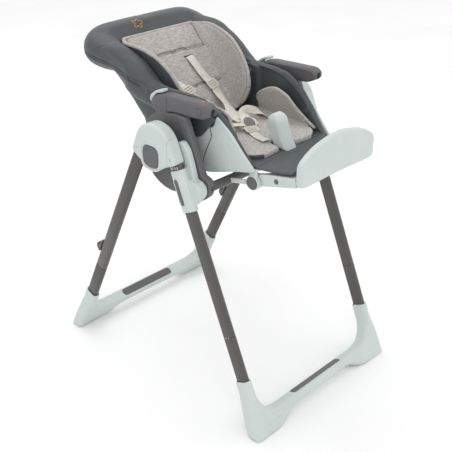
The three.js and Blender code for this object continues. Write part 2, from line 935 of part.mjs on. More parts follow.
function addLegrest() {
  const { inner, outer, front } = LEGREST_ARM;
  const arms = [legrestArm(inner, outer), legrestArm(-outer, -inner)];
  const bridge = box(-inner - 2, inner + 2, -120, -34, 12, 19);
  const bores = [];
  for (const sign of Object.values(SIDES)) {
    const [low, high] = sign < 0 ? [-STEM.outer, -STEM.inner] : [STEM.inner, STEM.outer];
    const { bottom, top } = STEM;
    bores.push(box(low - 0.4, high + 0.4, front - 5, STEM.rear + 3, bottom - 0.4, top + 0.4));
    const [holeLow, holeHigh] = sign < 0 ? [-outer - 2, -STEM.outer] : [STEM.outer, outer + 2];
    bores.push(sideRod(-70, 4.4, 6.5 + GAP, holeLow, holeHigh));
    const [ringLow, ringHigh] = sign < 0 ? [-outer - 2, -outer + 1] : [outer - 1, outer + 2];
    bores.push(sideRod(-93, 4.4, 6.5, ringLow, ringHigh));
    bores.push(sideRod(-115, 4.4, 6.5, ringLow, ringHigh));
  }
  add('legrest_frame', cut(joined(arms[0], arms[1], bridge), ...bores), 'mint', legrest);

  const pad = outline([
    [-24, 22],
    [front + 4, 20],
    [front + 4, 32, 5],
    [-24, 36, 6],
  ]);
  add('legrest_pad', sideSlab(pad, -148, 148, 3), 'slate', legrest);
  addPair('footplate_button', sideRod(-70, 4.4, 6.5, STEM.outer + 1.8, outer + 0.8, 0.5), 'darkPlastic', legrest);

  const cap = sideRod(LEGREST.y, LEGREST.z, CAP_RADIUS, 160, 169, 1.5);
  addPair('legrest_release', cap, 'darkPlastic');
  add('footplate', footplate(), 'mint');
}

// Foot board: a shallow arched channel, closed at both ends, on two stems that slide in the arms.
function footplate() {
  const { front: y0, bottom, crown, shoulder, halfWidth } = FOOTPLATE;
  const depth = 22;
  const wall = 9;
  const face = mirroredOutline([
    [0, bottom + 3],
    [halfWidth - 22, bottom],
    [halfWidth, bottom + 4, 8],
    [halfWidth, shoulder, 16],
    [100, shoulder + 30, 40],
    [0, crown + 2, 50],
  ]);
  const board = frontSlab(face, y0, y0 + depth, 4, 5);
  const inside = mirroredOutline([
    [0, bottom - 20],
    [halfWidth - wall, bottom - 20],
    [halfWidth - wall, shoulder - 6, 14],
    [96, shoulder + 20, 40],
    [0, crown - 8, 50],
  ]);
  const channel = cut(board, frontSlab(inside, y0 + wall, y0 + depth + 20, 0, 5));
  const trimmed = cut(channel, armFront());
  legrest.updateMatrix();
  const stems = [];
  for (const sign of Object.values(SIDES)) {
    const [low, high] = sign < 0 ? [-STEM.outer, -STEM.inner] : [STEM.inner, STEM.outer];
    stems.push(box(low, high, LEGREST_ARM.front - 12, STEM.rear, STEM.bottom, STEM.top).applyMatrix4(legrest.matrix));
  }
  return joined(trimmed, ...stems);
}

// The space that the legrest's arms and pad need behind the board.
function armFront() {
  legrest.updateMatrix();
  const reach = 200;
  return box(-reach, reach, LEGREST_ARM.front - 0.5, 50, -60, 60).applyMatrix4(legrest.matrix);
}

addLegsAndBases();
addHub();
addHeightSlider();
addSideFrames();
addSeat();
addBackrest();
addLegrest();

export default chair;
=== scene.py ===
"""Looks of the folding baby high chair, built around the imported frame."""

import json
import math

import bmesh
import bpy
import numpy as np
from mathutils import Matrix, Vector

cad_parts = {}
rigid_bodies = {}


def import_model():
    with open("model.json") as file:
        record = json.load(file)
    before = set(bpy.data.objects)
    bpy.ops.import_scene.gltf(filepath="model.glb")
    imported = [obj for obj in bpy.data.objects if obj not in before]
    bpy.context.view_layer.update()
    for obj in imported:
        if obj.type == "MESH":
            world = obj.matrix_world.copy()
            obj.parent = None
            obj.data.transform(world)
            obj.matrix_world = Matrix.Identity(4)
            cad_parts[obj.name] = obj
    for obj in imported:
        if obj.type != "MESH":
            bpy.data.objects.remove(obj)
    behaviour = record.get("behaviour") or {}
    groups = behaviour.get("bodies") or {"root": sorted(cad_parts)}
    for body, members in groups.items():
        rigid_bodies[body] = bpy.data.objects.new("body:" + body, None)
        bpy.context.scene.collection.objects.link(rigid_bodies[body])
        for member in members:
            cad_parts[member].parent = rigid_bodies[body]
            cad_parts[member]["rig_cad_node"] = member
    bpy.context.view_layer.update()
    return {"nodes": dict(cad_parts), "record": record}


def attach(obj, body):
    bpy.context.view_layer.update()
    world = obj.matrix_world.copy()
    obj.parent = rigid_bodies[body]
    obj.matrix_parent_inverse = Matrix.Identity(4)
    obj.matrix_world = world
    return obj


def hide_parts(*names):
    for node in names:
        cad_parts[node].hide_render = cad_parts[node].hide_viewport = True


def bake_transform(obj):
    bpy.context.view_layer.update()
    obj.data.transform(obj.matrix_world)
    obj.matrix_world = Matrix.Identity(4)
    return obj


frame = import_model()
nodes = frame["nodes"]

MM = 0.001
SIDES = {"right": -1, "left": 1}

# The frame's own coordinates are metres. The sizes below are millimetres in the chair's drawing,
# whose y is CENTRE_Y ahead of the frame's, and in the two tilted drawings of the back and the leg.
CENTRE_Y = 7.5
BACK_Y, BACK_Z, BACK_SLOPE = 277, 939, math.radians(47.6)
LEG_Y, LEG_LEAN = -387, math.radians(-23.4)
TAPER, TAPER_START = 0.095, 60


def chair(x, y, z):
    return Vector((x, y - CENTRE_Y, z)) * MM


def on_back(x, s, n):
    """s runs up the back from the liner's top edge and n points at the child."""
    c, d = math.cos(BACK_SLOPE), math.sin(BACK_SLOPE)
    return chair(x, BACK_Y + s * c - n * d, BACK_Z + s * d + n * c)


def wall_x(w, y):
    """The seat's sides draw in towards the front by TAPER per millimetre."""
    return w - TAPER * max(0, TAPER_START - y)


def on_front_leg(x, across, up):
    c, d = math.cos(LEG_LEAN), math.sin(LEG_LEAN)
    return chair(x, LEG_Y + across * c - up * d, across * d + up * c)


OUT = on_back(0, 0, 1) - on_back(0, 0, 0)  # one millimetre out of the back, towards the child


def back_coordinates(co):
    """x, s and n in millimetres of an array of points in the frame."""
    y = co[:, 1] / MM + CENTRE_Y - BACK_Y
    z = co[:, 2] / MM - BACK_Z
    c, d = math.cos(BACK_SLOPE), math.sin(BACK_SLOPE)
    return co[:, 0] / MM, y * c + z * d, z * c - y * d


# ---------------------------------------------------------------- materials


SOCKETS = {
    "metallic": "Metallic",
    "coat": "Coat Weight",
    "sheen": "Sheen Weight",
    "specular": "Specular IOR Level",
}


class Paint:
    """A Principled material with object-space textures, in metres."""

    def __init__(self, name, colour, roughness, **sockets):
        self.material = bpy.data.materials.new(name)
        self.material.use_nodes = True
        self.tree = self.material.node_tree
        self.bsdf = self.tree.nodes["Principled BSDF"]
        self.bsdf.inputs["Base Color"].default_value = (*colour, 1)
        self.bsdf.inputs["Roughness"].default_value = roughness
        for socket, value in sockets.items():
            self.bsdf.inputs[SOCKETS[socket]].default_value = value
        self.place = self.node("ShaderNodeTexCoord").outputs["Object"]
        self.normal = None

    def node(self, kind, **values):
        made = self.tree.nodes.new(kind)
        for name, value in values.items():
            setattr(made, name, value)
        return made

    def link(self, source, target):
        self.tree.links.new(source, target)

    def stretched(self, scale):
        mapping = self.node("ShaderNodeMapping")
        mapping.inputs["Scale"].default_value = scale
        self.link(self.place, mapping.inputs["Vector"])
        return mapping.outputs["Vector"]

    def noise(self, scale, detail=2.0, place=None):
        made = self.node("ShaderNodeTexNoise")
        made.inputs["Scale"].default_value = scale
        made.inputs["Detail"].default_value = detail
        self.link(place or self.place, made.inputs["Vector"])
        return made.outputs["Fac"]

    def cells(self, scale):
        made = self.node("ShaderNodeTexVoronoi")
        made.inputs["Scale"].default_value = scale
        self.link(self.place, made.inputs["Vector"])
        return made.outputs["Distance"]

    def bands(self, scale, direction):
        made = self.node("ShaderNodeTexWave", wave_type="BANDS", bands_direction=direction)
        made.inputs["Scale"].default_value = scale
        self.link(self.place, made.inputs["Vector"])
        return made.outputs["Fac"]

    def ramp(self, source, *stops):
        made = self.node("ShaderNodeValToRGB")
        elements = made.color_ramp.elements
        while len(elements) < len(stops):
            elements.new(0.5)
        for element, (position, colour) in zip(elements, stops):
            element.position = position
            element.color = (*colour, 1)
        self.link(source, made.inputs["Fac"])
        return made.outputs["Color"]

    def mixed(self, mode, share, first, second):
        made = self.node("ShaderNodeMix", data_type="RGBA", blend_type=mode)
        made.inputs["Factor"].default_value = share
        self.link(first, made.inputs[6])
        self.link(second, made.inputs[7])
        return made.outputs[2]

    def colour(self, source):
        self.link(source, self.bsdf.inputs["Base Color"])

    def roughness(self, source, low, high):
        made = self.node("ShaderNodeMapRange")
        made.inputs["To Min"].default_value = low
        made.inputs["To Max"].default_value = high
        self.link(source, made.inputs["Value"])
        self.link(made.outputs["Result"], self.bsdf.inputs["Roughness"])

    def bump(self, source, depth, strength=1.0):
        """Adds relief of that depth in millimetres on top of what is there."""
        made = self.node("ShaderNodeBump")
        made.inputs["Distance"].default_value = depth * MM
        made.inputs["Strength"].default_value = strength
        self.link(source, made.inputs["Height"])
        if self.normal is not None:
            self.link(self.normal, made.inputs["Normal"])
        self.normal = made.outputs["Normal"]
        self.link(self.normal, self.bsdf.inputs["Normal"])


def tone(colour, factor):
    return tuple(channel * factor for channel in colour)


def moulded(name, colour, roughness):
    """Moulded plastic: satin grain, faint shade changes and a painted highlight along convex edges."""
    paint = Paint(name, colour, roughness, specular=0.45)
    cloud = paint.noise(9, 3)
    shade = paint.ramp(cloud, (0.3, tone(colour, 0.96)), (0.7, tone(colour, 1.03)))
    edge = paint.node("ShaderNodeNewGeometry").outputs["Pointiness"]
    # painted highlight: pointiness lightens the base colour on convex edges
    convex_highlight = paint.ramp(edge, (0.53, (0, 0, 0)), (0.6, (0.05, 0.05, 0.05)))
    paint.colour(paint.mixed("ADD", 1.0, shade, convex_highlight))
    paint.roughness(paint.noise(40, 4), roughness - 0.05, roughness + 0.07)
    paint.bump(paint.noise(1500, 2), 0.035)
    return paint.material


def coated_steel(name, colour):
    paint = Paint(name, colour, 0.36, metallic=0.35, coat=0.15)
    cloud = paint.noise(7, 3)
    paint.colour(paint.ramp(cloud, (0.3, tone(colour, 0.93)), (0.7, tone(colour, 1.07))))
    paint.roughness(paint.noise(60, 4), 0.3, 0.42)
    paint.bump(paint.noise(2200, 2), 0.02)
    return paint.material


def leatherette(name, colour):
    """Faux leather: small pebbles, soft creases and a painted highlight on convex high spots."""
    paint = Paint(name, colour, 0.5, sheen=0.08, specular=0.5)
    cloud = paint.noise(14, 5)
    shade = paint.ramp(cloud, (0.3, tone(colour, 0.88)), (0.7, tone(colour, 1.12)))
    edge = paint.node("ShaderNodeNewGeometry").outputs["Pointiness"]
    # painted highlight: pointiness lightens the base colour on convex high spots
    convex_highlight = paint.ramp(edge, (0.52, (0, 0, 0)), (0.6, (0.02, 0.022, 0.023)))
    paint.colour(paint.mixed("ADD", 1.0, shade, convex_highlight))
    paint.roughness(paint.noise(30, 4), 0.42, 0.58)
    paint.bump(paint.noise(26, 4), 1.2)
    paint.bump(paint.cells(620), 0.12)
    return paint.material


def melange(name, dark, mid, light):
    """Jersey knit of mixed fibres, with short light and dark streaks."""
    paint = Paint(name, mid, 0.95, sheen=0.25)
    streaks = paint.noise(260, 4, paint.stretched((0.35, 1.0, 1.0)))
    fibres = paint.ramp(streaks, (0.34, dark), (0.5, mid), (0.68, light))
    specks = paint.ramp(paint.noise(1300, 2), (0.35, tone(mid, 0.8)), (0.65, tone(mid, 1.15)))
    paint.colour(paint.mixed("MIX", 0.35, fibres, specks))
    paint.bump(paint.noise(45, 3), 0.5)
    paint.bump(paint.cells(1100), 0.22)
    return paint.material


def woven(name, colour):
    """Satin webbing with a fine diagonal weave."""
    paint = Paint(name, colour, 0.5, sheen=0.3)
    cloud = paint.noise(120, 3)
    paint.colour(paint.ramp(cloud, (0.3, tone(colour, 0.86)), (0.7, tone(colour, 1.08))))
    paint.roughness(paint.noise(90, 3), 0.42, 0.62)
    paint.bump(paint.bands(420, "DIAGONAL"), 0.12)
    paint.bump(paint.noise(1400, 2), 0.08)
    return paint.material


def plain_trim(name, colour, roughness, metallic=0.0):
    paint = Paint(name, colour, roughness, metallic=metallic)
    cloud = paint.noise(300, 3)
    paint.colour(paint.ramp(cloud, (0.3, tone(colour, 0.9)), (0.7, tone(colour, 1.1))))
    paint.bump(paint.noise(900, 3), 0.03)
    return paint.material


SLATE = (0.052, 0.060, 0.064)
MATERIALS = {
    "mint": moulded("mint_plastic", (0.53, 0.585, 0.565), 0.4),
    "dark": moulded("dark_plastic", (0.105, 0.103, 0.108), 0.48),
    "tube": coated_steel("leg_tube", (0.085, 0.08, 0.075)),
    "rubber": moulded("foot_rubber", (0.022, 0.022, 0.023), 0.85),
    "steel": plain_trim("axle_steel", (0.5, 0.5, 0.5), 0.3, 0.9),
    "slate": leatherette("slate_leatherette", SLATE),
    "liner": melange("melange_fabric", (0.27, 0.25, 0.235), (0.41, 0.385, 0.365), (0.56, 0.535, 0.51)),
    "webbing": woven("harness_webbing", (0.66, 0.62, 0.55)),
    "buckle": moulded("buckle_plastic", (0.64, 0.61, 0.55), 0.38),
    "grey_button": moulded("buckle_button", (0.16, 0.15, 0.14), 0.4),
    "thread": plain_trim("slate_thread", (0.018, 0.019, 0.02), 0.7),
    "orange": plain_trim("orange_thread", (0.78, 0.30, 0.06), 0.6),
    "red": plain_trim("red_mark", (0.75, 0.09, 0.07), 0.45),
    "white": plain_trim("white_mark", (0.6, 0.6, 0.58), 0.5),
    "black": plain_trim("dark_binding", (0.02, 0.021, 0.022), 0.7),
    # painted shade: dark grey of the cords laid in the liner's seam creases
    "seam": plain_trim("liner_crease_shade", (0.16, 0.15, 0.145), 0.9),
}
SLOTS = {
    "mint": "mint_plastic",
    "dark": "dark_plastic",
    "tube": "leg_tube",
    "rubber": "foot_rubber",
    "steel": "axle_steel",
    "slate": "slate_leatherette",
    "liner": "melange_fabric",
    "webbing": "webbing",
    "buckle": "webbing",
}


def paint_object(obj, paint):
    """Gives the object one material in place of any it had."""
    obj.data.materials.clear()
    obj.data.materials.append(MATERIALS[paint])


# ---------------------------------------------------------------- mesh helpers


def face_outwards(mesh):
    shape = bmesh.new()
    shape.from_mesh(mesh)
    bmesh.ops.recalc_face_normals(shape, faces=shape.faces)
    shape.to_mesh(mesh)
    shape.free()
    mesh.update()


def new_object(name, points, faces, paint=None):
    mesh = bpy.data.meshes.new(name)
    mesh.from_pydata([tuple(p) for p in points], [], faces)
    face_outwards(mesh)
    mesh.shade_smooth()
    obj = bpy.data.objects.new(name, mesh)
    bpy.context.scene.collection.objects.link(obj)
    if paint:
        paint_object(obj, paint)
    return obj


def smooth_path(points, step):
    """Points a step apart, in metres, on a smooth curve through the given ones."""
    pts = [Vector(p) for p in points]
    ends = [2 * pts[0] - pts[1], *pts, 2 * pts[-1] - pts[-2]]
    path = []
    for a, b, c, d in zip(ends, ends[1:], ends[2:], ends[3:]):
        count = max(1, round((c - b).length / step))
        for i in range(count):
            t = i / count
            linear = (c - a) * t
            square = (2 * a - 5 * b + 4 * c - d) * t * t
            cube = (3 * b - a - 3 * c + d) * t**3
            path.append(0.5 * (2 * b + linear + square + cube))
    return [*path, pts[-1]]


def swept(name, path, section, paint, up=(0, 0, 1), closed=False):
    """A closed solid: section(i) gives (across, along up) pairs round the path's i-th point."""
    rings = []
    side = None
    count = len(path)
    for i, p in enumerate(path):
        after = path[(i + 1) % count] if closed or i < count - 1 else path[i]
        before = path[i - 1] if closed or i > 0 else path[i]
        ahead = (after - before).normalized()
        axis = Vector(up) if not callable(up) else Vector(up(i))
        side = ahead.cross(axis).normalized() if abs(ahead.dot(axis)) < 0.99 else side
        if side is None:
            side = ahead.cross(Vector((1, 0.3, 0))).normalized()
        top = side.cross(ahead).normalized()
        rings.append([p + side * a + top * b for a, b in section(i)])
    width = len(rings[0])
    faces = []
    for i in range(count if closed else count - 1):
        j = (i + 1) % count
        for k in range(width):
            m = (k + 1) % width
            faces.append((i * width + k, i * width + m, j * width + m, j * width + k))
    if not closed:
        faces.append(tuple(reversed(range(width))))
        faces.append(tuple((count - 1) * width + k for k in range(width)))
    return new_object(name, [p for ring in rings for p in ring], faces, paint)


def ellipse(radius_u, radius_v, sides):
    turns = [2 * math.pi * k / sides for k in range(sides)]
    return [(radius_u * math.cos(t), radius_v * math.sin(t)) for t in turns]


def circle(radius, sides=12):
    """A round section in metres, its radius in millimetres."""
    return ellipse(radius * MM, radius * MM, sides)


def cord_along(name, points, radius, paint, step=3.0, closed=False):
    path = smooth_path([*points, points[0]] if closed else points, step * MM)
    if closed:
        path = path[:-1]
    rounded = circle(radius)

    def section(i):
        from_end = min(i, len(path) - 1 - i)
        share = 1.0 if closed or from_end > 1 else (0.45, 0.85)[from_end]
        return [(a * share, b * share) for a, b in rounded]

    return swept(name, path, section, paint, closed=closed)


def strap(name, points, width, paint, ups, thickness=1.6, step=5.0):
    """Flat webbing through the points; ups are the directions its face looks at each point."""
    path = smooth_path(points, step * MM)
    keys = np.linspace(0, 1, len(ups))
    table = np.array([tuple(Vector(u).normalized()) for u in ups])
    shares = np.linspace(0, 1, len(path))
    normals = [Vector([np.interp(t, keys, table[:, k]) for k in range(3)]).normalized() for t in shares]
    half, low = width / 2 * MM, thickness / 2 * MM
    edge = 0.8 * low
    outline = [
        (-half, -edge * 0.4),
        (-half + edge, -low),
        (0, -low),
        (half - edge, -low),
        (half, -edge * 0.4),
        (half, edge * 0.4),
        (half - edge, low),
        (0, low),
        (-half + edge, low),
        (-half, edge * 0.4),
    ]
    return swept(name, path, lambda i: outline, paint, up=lambda i: normals[i])


def extruded(name, outline, place, low, high, paint, rounding=0.0):
    """A slab of the outline, place(u, v, w) giving its points between w = low and high, in mm."""
    steps = [(low, rounding), (low + rounding * 0.3, rounding * 0.3), (low + rounding, 0)]
    steps += [(high - rounding, 0), (high - rounding * 0.3, rounding * 0.3), (high, rounding)]
    if rounding == 0:
        steps = [(low, 0), (high, 0)]
    pts = np.array(outline, float)
    centre = pts.mean(0)
    spread = np.linalg.norm(pts - centre, axis=1)[:, None]
    rings = [[place(u, v, w) for u, v in pts - (pts - centre) / spread * inset] for w, inset in steps]
    count = len(outline)
    faces = [tuple(reversed(range(count)))]
    for i in range(len(rings) - 1):
        for k in range(count):
            m = (k + 1) % count
            faces.append((i * count + k, i * count + m, (i + 1) * count + m, (i + 1) * count + k))
    faces.append(tuple((len(rings) - 1) * count + k for k in range(count)))
    return new_object(name, [p for ring in rings for p in ring], faces, paint)


def rounded_outline(corners, radius, steps=5):
    """Corner points (u, v) with every corner rounded."""
    made = []
    count = len(corners)
    for i in range(count):
        corner = Vector(corners[i])
        before = Vector(corners[i - 1]) - corner
        after = Vector(corners[(i + 1) % count]) - corner
        cut = min(radius, before.length * 0.48, after.length * 0.48)
        start, end = corner + before.normalized() * cut, corner + after.normalized() * cut
        for k in range(steps + 1):
            t = k / steps
            made.append(tuple(start * (1 - t) ** 2 + corner * 2 * t * (1 - t) + end * t * t))
    return made


def rounded_box(half, low, high, radius, steps=5):
    """A rounded rectangle, half wide to either side, from v = low to high."""
    return rounded_outline([(-half, low), (half, low), (half, high), (-half, high)], radius, steps)


def evaluated(obj):
    """Applies what the object's modifiers give."""
    graph = bpy.context.evaluated_depsgraph_get()
    mesh = bpy.data.meshes.new_from_object(obj.evaluated_get(graph), depsgraph=graph)
    obj.modifiers.clear()
    obj.data = mesh
    return obj


def coordinates(mesh):
    co = np.zeros(len(mesh.vertices) * 3, np.float32)
    mesh.vertices.foreach_get("co", co)
    return co.reshape(-1, 3).astype(float)


def set_coordinates(mesh, co):
    mesh.vertices.foreach_set("co", co.astype(np.float32).ravel())
    mesh.update()


def remeshed(obj, voxel, smoothing):
    """One closed skin round everything in the object, with soft edges."""
    remesh = obj.modifiers.new("remesh", "REMESH")
    remesh.mode = "VOXEL"
    remesh.voxel_size = voxel * MM
    smooth = obj.modifiers.new("smooth", "SMOOTH")
    smooth.factor = 0.5
    smooth.iterations = smoothing
    evaluated(obj)
    obj.data.shade_smooth()
    return obj


def copy_of(name, *sources):
    """A new object holding the meshes of CAD nodes and of helper objects, which are removed."""
    points, faces = [], []
    for source in sources:
        obj = nodes[source] if isinstance(source, str) else source
        start = len(points)
        points += [v.co.copy() for v in obj.data.vertices]
        faces += [tuple(start + v for v in p.vertices) for p in obj.data.polygons]
        if not isinstance(source, str):
            bpy.data.objects.remove(obj)
    return new_object(name, points, faces)


def inflated(obj, cap, pressure=4.0, frames=20):
    """Lets air pressure round the piece as cloth, no point moving further than cap millimetres."""
    rest = coordinates(obj.data)
    cloth = obj.modifiers.new("cloth", "CLOTH")
    cloth.settings.use_pressure = True
    cloth.settings.uniform_pressure_force = pressure
    cloth.settings.effector_weights.gravity = 0
    cloth.settings.quality = 4
    cloth.point_cache.frame_start = 1
    cloth.point_cache.frame_end = frames
    scene = bpy.context.scene
    for number in range(1, frames + 1):
        scene.frame_set(number)
    evaluated(obj)
    scene.frame_set(1)
    moved = coordinates(obj.data) - rest
    length = np.linalg.norm(moved, axis=1)[:, None]
    limit = cap * MM
    moved *= np.tanh(length / limit) * limit / np.maximum(length, 1e-9)
    set_coordinates(obj.data, rest + moved)
    obj.data.shade_smooth()
    return obj


def subdivided(obj, levels=1):
    modifier = obj.modifiers.new("subdivision", "SUBSURF")
    modifier.levels = modifier.render_levels = levels
    return evaluated(obj)


def groove(distance, width):
    return np.exp(-((distance / width) ** 2))


def ramp_between(value, low, high):
    t = np.clip((value - low) / (high - low), 0, 1)
    return t * t * (3 - 2 * t)


def ride_all(objects, body):
    for obj in objects:
        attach(obj, body)


def bridge_back(obj):
    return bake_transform(obj)


def bridge_legrest(obj):
    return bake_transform(obj)


# ---------------------------------------------------------------- hard parts of the frame


# Smoothing steps and voxel sizes in millimetres of the mouldings; the rest have the usual ones.
SMOOTHING = {"crotch_post": 50, "hub_cover": 16, "footplate": 16, "arm": 8, "height_slider": 10}
USUAL_SMOOTHING = 6
VOXELS = {"front_base": 2.0, "rear_base": 2.0, "footplate": 1.8, "side_frame": 1.8, "seat_pan": 1.5}
USUAL_VOXEL = 1.2


def paint_hard_parts():
    """Gives each CAD node its finish; modifiers soften the edges."""
    paints = {slot: paint for paint, slot in SLOTS.items()}
    slots = {part["node"]: part["material_slot"] for part in frame["record"]["subparts"]}
    for name, obj in nodes.items():
        paint_object(obj, paints[slots[name]])
        obj.data.shade_smooth()
        if slots[name] in ("leg_tube", "axle_steel"):
            soften_metal(obj)
        else:
            kind = name.rsplit("_right", 1)[0].rsplit("_left", 1)[0]
            soften_moulding(obj, VOXELS.get(kind, USUAL_VOXEL), SMOOTHING.get(kind, USUAL_SMOOTHING))


def soften_metal(obj):
    weld = obj.modifiers.new("weld", "WELD")
    weld.merge_threshold = 0.02 * MM
    bevel = obj.modifiers.new("bevel", "BEVEL")
    bevel.width = 0.5 * MM
    bevel.segments = 2
    bevel.limit_method = "ANGLE"
    bevel.angle_limit = math.radians(38)
    bevel.harden_normals = True


def soften_moulding(obj, voxel, smoothing):
    remesh = obj.modifiers.new("remesh", "REMESH")
    remesh.mode = "VOXEL"
    remesh.voxel_size = voxel * MM
    remesh.use_smooth_shade = True
    smooth = obj.modifiers.new("smooth", "SMOOTH")
    smooth.factor = 0.5
    smooth.iterations = smoothing


# ---------------------------------------------------------------- back cover


# The roll round the bucket's rim: |x|, s, n and radius from the head's middle to the arms.
RIM = [
    (0, 43, -46, 44),
    (90, 42, -46, 44),
    (150, 38, -47, 45),
    (178, 20, -44, 46),
    (184, -14, -18, 42),
    (186, -49, 16, 37),
    (183, -75, 27, 39),
    (181, -110, 41, 41),
    (181, -140, 49, 42),
    (180, -170, 61, 38),
    (176, -205, 80, 32),
    (170, -240, 99, 27),
]


RIM_SEAM = [(46, -74), (35, -67), (-11, -33), (-67, 8), (-129, 56), (-165, 84)]  # s and n
ROLL_OUTSIDE = 226  # |x| just outside the roll


def rim_roll(side):
    path = smooth_path([on_back(side * x, s, n) for x, s, n, _ in RIM], 8 * MM)
    reach = np.cumsum([0] + [(b - a).length for a, b in zip(path, path[1:])])
    marks = np.cumsum([0] + [math.dist(a[:3], b[:3]) * MM for a, b in zip(RIM, RIM[1:])])
    radii = np.interp(reach / reach[-1] * marks[-1], marks, [r for *_, r in RIM])
    return swept("roll", path, lambda i: circle(radii[i], 24), None)


def rim_web(side):
    """Fills the space between the roll and the panel."""
    low, high = sorted((side * 146, side * 180))
    edge = [(s, n) for _, s, n, _ in RIM[4:]]
    outline = edge + [(-286, 60), (-290, -24), (-20, -28)]
    return extruded("web", outline, lambda u, v, w: on_back(w, u, v), low, high, None)


def back_panel():
    half = [(158, 30), (172, -60), (158, -170), (150, -294)]
    outline = [(-x, s) for x, s in half] + half[::-1]
    return extruded("panel", rounded_outline(outline, 20), lambda u, v, w: on_back(u, v, w), -28, -2, None)


def back_cover():
    """The padded bucket: head roll, side wings that run into the arms, and the sloping panel."""
    parts = [back_panel()]
    for side in SIDES.values():
        parts += [rim_roll(side), rim_web(side)]
    cover = remeshed(copy_of("back_cover", *parts), 5, 4)
    inflated(cover, 5)
    shape_back_cover(cover)
    subdivided(cover)
    paint_object(cover, "slate")
    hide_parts("backrest_cushion")
    bridge_back(cover)
    return cover


def shape_back_cover(cover):
    """A sewn channel round the outside of the roll and soft tension folds at its corners."""
    co = coordinates(cover.data)
    x, s, n = back_coordinates(co)
    seam_n = np.interp(s, [row[0] for row in RIM_SEAM[::-1]], [row[1] for row in RIM_SEAM[::-1]])
    outside = ramp_between(np.abs(x), 196, 212)
    dent = 4.5 * groove(n - seam_n, 4.5) * outside
    folds = 1.6 * np.sin(x / 13 + s / 21) * groove(s + 6, 34) * ramp_between(np.abs(x), 120, 170)
    co[:, 0] -= np.sign(x) * dent * MM
    co[:, 2] += folds * MM * ramp_between(n, -40, 20)
    set_coordinates(cover.data, co)


# ---------------------------------------------------------------- back liner

LINER_EDGE = [  # s, x and n of the liner wing's bound edge
    (0, 134, 6),
    (-10, 147, 18),
    (-26, 160, 38),
    (-50, 157, 62),
    (-75, 152, 82),
    (-100, 149, 97),
    (-123, 146, 108),
    (-169, 140, 116),
    (-209, 136, 114),
    (-239, 130, 108),
    (-268, 126, 90),
    (-290, 124, 46),
]


LINER_LENGTH = 294
PANEL_HALF = 125  # half the width of the liner's flat middle
PANEL_SHARE = 0.58  # and its share of the way to the wing's edge
PANEL_BACK = 2  # n of the liner's back face there
CREASE = 127  # |x| where the wings are sewn on
CROSS_SEAMS = (-74, -190)  # s of the seams across the middle


def back_liner():
    """Quilted melange liner: a centre panel with cross seams and two wings."""
    rows = 78
    across = 64
    edge_s = [-row[0] for row in LINER_EDGE]
    points = []
    for i in range(rows + 1):
        s = -LINER_LENGTH * i / rows
        x_edge = np.interp(-s, edge_s, [row[1] for row in LINER_EDGE])
        n_edge = np.interp(-s, edge_s, [row[2] for row in LINER_EDGE])
        for j in range(across + 1):
            u = 2 * j / across - 1
            points.append(liner_point(s, u, x_edge, n_edge))
    width = across + 1
    faces = [
        (i * width + j, (i + 1) * width + j, (i + 1) * width + j + 1, i * width + j + 1)
        for i in range(rows)
        for j in range(across)
    ]
    liner = new_object("back_liner", points, faces)
    solid = liner.modifiers.new("thickness", "SOLIDIFY")
    solid.thickness = 11 * MM
    solid.offset = 1
    evaluated(liner)
    remeshed(liner, 3.2, 4)
    seam_back_liner(liner)
    subdivided(liner)
    paint_object(liner, "liner")
    dark_backs(liner, 118, OUT)
    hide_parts("backrest_liner")
    bridge_back(liner)
    return liner


def liner_point(s, u, x_edge, n_edge):
    """A point of the liner's back face: flat in the middle, turning up into the wings."""
    share = abs(u)
    if share <= PANEL_SHARE:
        return on_back(PANEL_HALF * u / PANEL_SHARE, s, PANEL_BACK)
    t = (share - PANEL_SHARE) / (1 - PANEL_SHARE)
    belly = 10 * math.sin(math.pi * t) * min(1, n_edge / 60)
    x = PANEL_HALF + (x_edge - PANEL_HALF) * t + belly
    return on_back(math.copysign(x, u), s, PANEL_BACK + (n_edge - PANEL_BACK) * t)


def dark_backs(obj, start, upward):
    """Paints the outer faces of a liner's wings, beyond |x| = start mm, with faux leather."""
    mesh = obj.data
    mesh.materials.append(MATERIALS["slate"])
    upward = upward.normalized()
    for face in mesh.polygons:
        side = math.copysign(1, face.center.x)
        outward = face.normal.x * side
        if abs(face.center.x) > start * MM and outward > 0.25 and face.normal.dot(upward) < 0.75:
            face.material_index = 1


def seam_back_liner(liner):
    """Crowns the liner's middle between its sewn channels and creases it along the wings."""
    co = coordinates(liner.data)
    x, s, n = back_coordinates(co)
    inside = ramp_between(-np.abs(x), -CREASE - 1, 5 - CREASE)
    crown = 4.0 * (1 - (np.clip(x / (CREASE - 1), -1, 1)) ** 2) * inside
    channels = sum(groove(s - seam, 3.6) for seam in CROSS_SEAMS)
    corner = groove(np.abs(x) - CREASE, 4.0) * ramp_between(-n, -34, -18)
    lift = crown * (1 - np.clip(channels, 0, 1)) - 4.5 * channels * inside - 7.0 * corner
    wrinkles = 0.7 * np.sin(s / 9 + x / 31) * np.sin(x / 17) * inside
    front = ramp_between(n, 6, 10)
    co += ((lift + wrinkles) * front)[:, None] * np.array(OUT)[None, :]
    set_coordinates(liner.data, co)


def liner_binding():
    """Rolled edges round the liner's wings and along its top."""
    made = []
    for name, side in SIDES.items():
        edge = [on_back(side * (x - 3), s, n + 3) for s, x, n in LINER_EDGE]
        made.append(cord_along(f"liner_edge_{name}", edge, 5.4, "liner"))
    top = [on_back(x, 3, 9) for x in (-136, -90, 0, 90, 136)]
    made.append(cord_along("liner_edge_top", top, 5.0, "liner"))
    for obj in made:
        bridge_back(obj)


# ---------------------------------------------------------------- seat


GUSSET = [(20, 706), (60, 706), (112, 716), (118, 800), (96, 868), (20, 858)]  # y and z
APRON = [(30, 704), (112, 704), (118, 716), (80, 721), (30, 717)]


